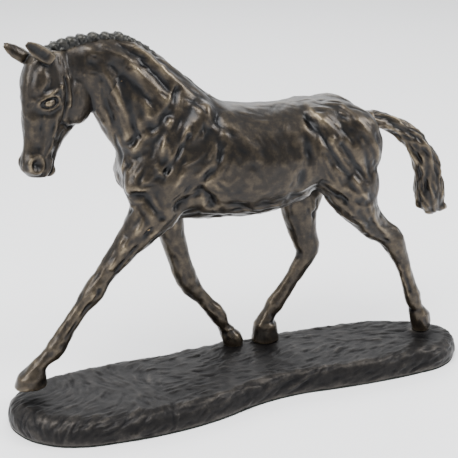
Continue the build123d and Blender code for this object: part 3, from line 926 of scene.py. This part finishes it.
def comb_lift(co, normals):
    """The short tool marks: flatter on the barrel and the lower legs, long on the tail."""
    rng = np.random.default_rng(11)
    tail = corridor(co, *SEAMS["tail"])
    skin = ~tail
    lift = np.zeros(len(co))
    for part, flow, marks in ((skin, BODY_FLOW, SKIN_MARKS), (tail, TAIL_FLOW, HAIR_MARKS)):
        lift[part] = tool_marks(co[part], normals[part], rng, partial(nearest_way, flow), marks)
    barrel = rise(co[:, 0], -28, -12) * fall(co[:, 0], 48, 62) * rise(co[:, 2], 155, 165)
    lift *= 1 - 0.6 * barrel
    lift[skin] *= 1 - 0.35 * fall(co[skin, 2], 120, 140)
    # soles stay level on the earth
    return lift * rise(co[:, 2], 22, 26)


def part_body(body):
    """Cuts the finished form at its seams; the upper neck is dropped, for the head has its own."""
    neck_seam, head_seam = seam_of(*NECK_SEAM), seam_of(*HEAD_SEAM)
    for seam in [seam_of(*where) for where in SEAMS.values()] + [neck_seam, head_seam]:
        cut(body, seam)
    pieces = {}
    for name, where in SEAMS.items():
        pieces[name] = split_off(body, lambda centres: corridor(centres, *where), name + "_bronze")
    upper_neck = split_off(body, lambda centres: past_neck(centres, head_seam), "upper_neck")
    bpy.data.objects.remove(upper_neck)
    pieces["neck"] = split_off(body, lambda centres: past_neck(centres, neck_seam), "neck_bronze")
    body.name = "torso_bronze"
    pieces["torso"] = body
    return pieces


class STATUETTE_OT_body(bpy.types.Operator):
    """Models the trunk, neck, legs and tail and cuts them into their castings"""

    bl_idname = "statuette.body"
    bl_label = "Horse's body"

    def execute(self, context):
        body = lay_up_body()
        knead(body, context.scene.statuette.body_grain / MM, 10)
        melt_trunk(body)
        sculpt(body, muscle_lift)
        sculpt(body, comb_lift)
        rub(body, 0.4, 2)
        wear_and_painted_light(body, 0.36)
        for name, piece in part_body(body).items():
            edit_all(piece, close_ends)
            keep_normals(piece)
            finish_piece(piece, [name], "cast_bronze_brown_patina")
        return {"FINISHED"}


# ---- the head ----
def ear(side, root_down, inward):
    """A pricked ear, hollowed on its outer face."""
    root = POLL + DOWN * root_down + FACE * EAR_ROOT_AHEAD + CHEEK * (side * EAR_ROOT_OUT)
    reach = LEVEL * EAR_REACH[0] + Vector((0, 0, EAR_REACH[1])) - CHEEK * inward
    size = reach.length
    cone = {"vertices": 24, "radius1": 1, "radius2": EAR_TIP, "depth": 1, "location": (0, 0, 0.5)}
    shell = add(bpy.ops.mesh.primitive_cone_add, "ear", **cone)
    edit_all(shell, lambda: bpy.ops.mesh.subdivide(number_cuts=7))
    bpy.ops.object.transform_apply(location=True)
    heights, widths = zip(*EAR_OUTLINE)
    axis = reach.normalized()
    outward = (CHEEK * side + Vector((0, 0, -0.35))).normalized()
    outward = (outward - axis * outward.dot(axis)).normalized()
    edge = axis.cross(outward)
    for vertex in shell.data.vertices:
        x, y, z = vertex.co
        around = math.atan2(y, x)
        far = math.hypot(x, y) / max(1 - (1 - EAR_TIP) * z, 1e-6)
        radius = EAR_HALF_WIDTH * float(np.interp(z, heights, widths)) * far
        u, v = radius * math.cos(around), radius * math.sin(around)
        # the back is round, the front is pressed in
        if v < 0:
            depth = v * 0.7
        else:
            pressed = 1.9 * float(rise(1 - abs(u) / 4.4, 0, 0.9)) * float(rise(z, 0.1, 0.35)) * far
            depth = v * 0.55 - pressed
        curl = 1.6 * (z - 0.4) ** 2
        place = root + axis * (z * (size + 3.5) - 0.12 * size) + edge * u + outward * (depth + curl)
        vertex.co = place * MM
    shell.data.update()
    edit_all(shell, face_outwards)
    return shell


def lay_up_head():
    """The skull on the upper neck, kneaded together, with the ears set on."""
    clay = [limb("upper_neck_clay", NECK[3:]), head_tube()]
    for side in (-1, 1):
        for down, face, out, *sizes, tilt in HEAD_MASSES:
            clay.append(on_head(down, face, side * out, sizes, tilt))
    skull = join(clay, "skull_clay")
    knead(skull, 0.6, 26)
    ears = [ear(side, root_down, inward) for side, (root_down, inward) in EARS.items()]
    return join([skull] + ears, "head_bronze")


def eye_lift(down, face):
    """The ball in its rim of lids, under the brow."""
    eye_down, eye_ahead, half_length, half_height = EYE
    slant, upright = EYE_SLANT
    u = (down - eye_down) * slant + (face - eye_ahead) * upright
    v = (down - eye_down) * upright - (face - eye_ahead) * slant
    r = np.hypot(u / half_length, v / half_height)
    socket = np.hypot(u / SOCKET[0], (v - 0.5) / SOCKET[1])
    eyeball = 0.45 * hump(r, 0.75)
    rim = -1.1 * hump(r - 1.12, 0.24)
    lids = 0.55 * hump(r - 1.6, 0.3) * (1.2 - 0.8 * np.tanh(v / 2))
    hollow = 0.8 * hump(socket - 1.15, 0.4) * (1 + 0.5 * np.tanh(v / 3))
    return eyeball + rim + lids - hollow


def nostril_lift(down, face):
    """A deep round nostril with a raised rim."""
    nostril_down, nostril_ahead, half_length, half_height = NOSTRIL
    r = np.hypot((down - nostril_down) / half_length, (face - nostril_ahead) / half_height)
    return 0.6 * hump(r - 1.45, 0.35) - 4.2 * np.exp(-(r**4))


def face_lift(co, normals):
    """The features of the skull; on the neck, the same strokes as on the body."""
    away = co - np.array(POLL)
    down, face, out = away @ np.array(DOWN), away @ np.array(FACE), away @ np.array(CHEEK)
    cheek = normals @ np.array(CHEEK)
    skull = fall(co[:, 0], -118, -108)
    lift = carve(HEAD_STROKES, np.stack([down, face], axis=1), both_sides(out), cheek) * skull
    sides = np.clip(np.abs(cheek) * 1.8 - 0.2, 0, 1) * skull
    lift += (eye_lift(down, face) + nostril_lift(down, face)) * sides
    lift += carve(STROKES, co[:, [0, 2]], both_sides(MID_Y - co[:, 1]), normals[:, 1]) * (1 - skull)
    lift += lumps(co, *BODY_LUMPS) * 0.7 * (1 - skull)
    return lift + lumps(co, *SKIN_LUMPS) * 0.25


class STATUETTE_OT_head(bpy.types.Operator):
    """Models the head, ears and upper neck"""

    bl_idname = "statuette.head"
    bl_label = "Head"

    def execute(self, context):
        head = lay_up_head()
        knead(head, context.scene.statuette.head_grain / MM, 4)
        sculpt(head, face_lift)
        sculpt(head, tool_marks, np.random.default_rng(5), head_heading, HEAD_MARKS)
        wear_and_painted_light(head, 0.42)
        cut(head, seam_of(*HEAD_SEAM), drop_before=True)
        edit_all(head, close_ends)
        keep_normals(head)
        finish_piece(head, ["head"], "cast_bronze_brown_patina")
        return {"FINISHED"}


# ---- the mane ----
def lay_up_mane():
    """A row of knots on a bed of hair, and the roll of hair down to the withers."""
    crest = np.array(CREST, float)
    clay = []
    for i, t in enumerate(np.linspace(0, len(crest) - 1, KNOTS)):
        k = min(int(t), len(crest) - 2)
        along = crest[k + 1] - crest[k]
        place = crest[k] + along * (t - k)
        tilt = math.degrees(math.atan2(-along[2], along[0]))
        size = 1 - 0.03 * i
        clay.append(ball(place_of(*place), (5.0 * size, 4.4, 4.2 * size), tilt + 12))
    for start, end in zip(crest, crest[1:]):
        for t in (0, 0.33, 0.67, 1):
            place = start + (end - start) * t - (0, 0, 3.4)
            clay.append(ball(place_of(*place), (5.0, 4.4, 5.6)))
    hair = np.array(CREST_HAIR)
    for start, end in zip(hair, hair[1:]):
        for t in (0, 0.5):
            x, y, z, size = start + (end - start) * t
            clay.append(ball(place_of(x, y, z - size * 0.6), (size * 1.5, size, size), 45))
    return join(clay, "mane_plaits_bronze")


class STATUETTE_OT_mane(bpy.types.Operator):
    """Models the plaited knots along the crest"""

    bl_idname = "statuette.mane"
    bl_label = "Plaits"

    def execute(self, context):
        mane = lay_up_mane()
        knead(mane, 0.5, 3)
        sculpt(mane, tool_marks, np.random.default_rng(3), mane_heading, PLAIT_MARKS)
        wear_and_painted_light(mane, 0.4)
        keep_normals(mane)
        finish_piece(mane, ["mane_plaits"], "cast_bronze_green_brown_patina")
        return {"FINISHED"}


# ---- the base ----
def base_shape(name, levels):
    """The base's outline drawn up through levels of (z, drawn in), closed above and below."""
    outline = add(bpy.ops.curve.primitive_bezier_circle_add, name, radius=0.1)
    spline = outline.data.splines[0]
    spline.bezier_points.add(len(BASE_OUTLINE) - len(spline.bezier_points))
    for point, (x, y) in zip(spline.bezier_points, BASE_OUTLINE):
        point.handle_left_type = "AUTO"
        point.handle_right_type = "AUTO"
        point.co = (x * MM, (BASE_MID_Y + y) * MM, levels[0][0] * MM)
    outline.data.resolution_u = 6
    outline.data.dimensions = "3D"
    outline.data.fill_mode = "FULL"
    bpy.ops.object.convert(target="MESH")
    base = bpy.context.object
    base.name = name

    def draw_up():
        for (low, inset_low), (high, inset_high) in zip(levels, levels[1:]):
            bpy.ops.mesh.extrude_region_move(TRANSFORM_OT_translate={"value": (0, 0, (high - low) * MM)})
            wide = (HALF_LENGTH - inset_high) / (HALF_LENGTH - inset_low)
            deep = (HALF_WIDTH - inset_high) / (HALF_WIDTH - inset_low)
            bpy.ops.transform.resize(value=(wide, deep, 1), center_override=(0, BASE_MID_Y * MM, 0))

    edit_all(base, draw_up, close_ends, face_outwards)
    return base


def lumpy_lift(co, _):
    """The soft lumps of the earth, mostly on its crown."""
    bank = rise(co[:, 2], 4, 9)
    crown = rise(co[:, 2], 13, 19)
    broad, middling, small = EARTH_LUMPS
    lift = lumps(co, *broad) * 0.9 * crown
    lift += lumps(co, *middling) * (0.25 + 0.3 * crown) * bank
    return lift + lumps(co, *small) * 0.15 * bank


def earth_lift(co, normals):
    """Short strokes over the earth, fading out under the hooves and at the felt."""
    upper = co[:, 2] > 3
    lift = np.zeros(len(co))
    rng = np.random.default_rng(23)
    lift[upper] = tool_marks(co[upper], normals[upper], rng, earth_heading, EARTH_MARKS)
    for x, y, _ in PADS:
        clear = rise(np.hypot(co[:, 0] - x, co[:, 1] - MID_Y - y), 8, 13)
        lift *= clear + (1 - clear) * 0.2
    return lift


def level_foot(base):
    """Keeps the earth's marks above the felt."""
    co, _, _ = read_skin(base)
    co[:, 2] = np.maximum(co[:, 2], BASE_BANK[0][0])
    write_skin(base, co)


class STATUETTE_OT_base(bpy.types.Operator):
    """Models the earth base and the felt under it"""

    bl_idname = "statuette.base"
    bl_label = "Earth base"

    def execute(self, context):
        clay = [base_shape("base_earth_bronze", BASE_BANK)]
        for x, y, z in PADS:
            clay.append(ball(place_of(x, y, z - 3.2), PAD_SIZES))
        base = join(clay, "base_earth_bronze")
        knead(base, context.scene.statuette.base_grain / MM, 6)
        sculpt(base, lumpy_lift)
        sculpt(base, earth_lift)
        level_foot(base)
        wear_and_painted_light(base, 0.3)
        keep_normals(base)
        finish_piece(base, ["base_plinth"], "cast_bronze_earth_patina")
        felt = base_shape("base_felt_sheet", FELT_EDGE)
        finish_piece(felt, ["base_felt"], "pressed_wool_felt")
        return {"FINISHED"}


class STATUETTE_OT_fittings(bpy.types.Operator):
    """Gives the pins, studs, washers and nuts inside the castings their metals"""

    bl_idname = "statuette.fittings"
    bl_label = "Pins and studs"

    def execute(self, context):
        for name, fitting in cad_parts.items():
            if name.endswith("_pin"):
                finish = "turned_bronze_pin"
            elif name.endswith(("_stud", "_washer", "_nut")):
                finish = "zinc_plated_steel"
            else:
                continue
            fitting.data.materials.clear()
            fitting.data.materials.append(bpy.data.materials[finish])
        return {"FINISHED"}


# ---- the stage ----
def lay_floor():
    floor = add(bpy.ops.mesh.primitive_plane_add, "studio_floor", size=12, location=(0, 0, 0))
    pale = bpy.data.materials.new("matt_white_board")
    pale.use_nodes = True
    shader = pale.node_tree.nodes["Principled BSDF"]
    shader.inputs["Base Color"].default_value = linear("#f4f4f5")
    shader.inputs["Roughness"].default_value = 0.7
    floor.data.materials.append(pale)


def pitch_tent(scene):
    """A light tent: bright above and behind, dimmer on the side where the maker stands."""
    world = scene.world or bpy.data.worlds.new("studio")
    scene.world = world
    world.use_nodes = True
    tree = world.node_tree
    way = node(tree, "ShaderNodeTexCoord").outputs["Generated"]
    up_and_back = [(0, way), (1, (-0.12, 0.55, 0.8))]
    tilt = node(tree, "ShaderNodeVectorMath", up_and_back, operation="DOT_PRODUCT").outputs["Value"]
    tent = ramp(tree, tilt, [(0.0, "#a9acaf"), (0.3, "#c9ccd0"), (0.55, "#f2f4f6"), (1.0, "#ffffff")])
    back = tree.nodes["Background"]
    tree.links.new(tent, back.inputs["Color"])
    back.inputs["Strength"].default_value = 1.7


def hang_lights():
    for name, place, size, power in LIGHTS:
        lamp = add(bpy.ops.object.light_add, name, type="AREA", location=place)
        lamp.data.shape = "RECTANGLE"
        lamp.data.size, lamp.data.size_y = size
        lamp.data.energy = power
        aim = Vector(LIGHTS_AIM) - Vector(place)
        lamp.rotation_euler = aim.to_track_quat("-Z", "Y").to_euler()


def place_camera(scene):
    camera = add(bpy.ops.object.camera_add, "camera", location=CAMERA_PLACE)
    yaw, pitch, roll = CAMERA_TURN
    level = math.cos(pitch)
    backwards = Vector((math.sin(yaw) * level, -math.cos(yaw) * level, math.sin(pitch)))
    right = Vector((math.cos(yaw), math.sin(yaw), 0))
    turn = Matrix((right, backwards.cross(right), backwards)).transposed()
    camera.rotation_euler = (turn @ Matrix.Rotation(roll, 3, "Z")).to_euler()
    camera.data.sensor_width = 36
    camera.data.lens = CAMERA_LENS
    scene.camera = camera


class STATUETTE_OT_stage(bpy.types.Operator):
    """Sets a pale floor, soft studio lights and the camera"""

    bl_idname = "statuette.stage"
    bl_label = "Stage"

    def execute(self, context):
        lay_floor()
        pitch_tent(context.scene)
        hang_lights()
        place_camera(context.scene)
        return {"FINISHED"}


class STATUETTE_PT_panel(bpy.types.Panel):
    """Lists the statuette's pieces and settings"""

    bl_idname = "STATUETTE_PT_panel"
    bl_label = "Bronze horse"
    bl_space_type = "VIEW_3D"
    bl_region_type = "UI"
    bl_category = "Statuette"

    def draw(self, context):
        settings = context.scene.statuette
        for name in ("body_grain", "head_grain", "base_grain", "rubbed_and_highlight", "film", "hollow"):
            self.layout.prop(settings, name)
        for operator in OPERATORS:
            self.layout.operator(operator.bl_idname)


OPERATORS = (
    STATUETTE_OT_finishes,
    STATUETTE_OT_body,
    STATUETTE_OT_head,
    STATUETTE_OT_mane,
    STATUETTE_OT_base,
    STATUETTE_OT_fittings,
    STATUETTE_OT_stage,
)


def register():
    bpy.utils.register_class(StatuetteSettings)
    bpy.types.Scene.statuette = bpy.props.PointerProperty(type=StatuetteSettings)
    for operator in OPERATORS:
        bpy.utils.register_class(operator)
    bpy.utils.register_class(STATUETTE_PT_panel)


def unregister():
    bpy.utils.unregister_class(STATUETTE_PT_panel)
    for operator in reversed(OPERATORS):
        bpy.utils.unregister_class(operator)
    del bpy.types.Scene.statuette
    bpy.utils.unregister_class(StatuetteSettings)


def main():
    register()
    for operator in OPERATORS:
        group, name = operator.bl_idname.split(".")
        getattr(getattr(bpy.ops, group), name)()


if __name__ == "__main__":
    main()
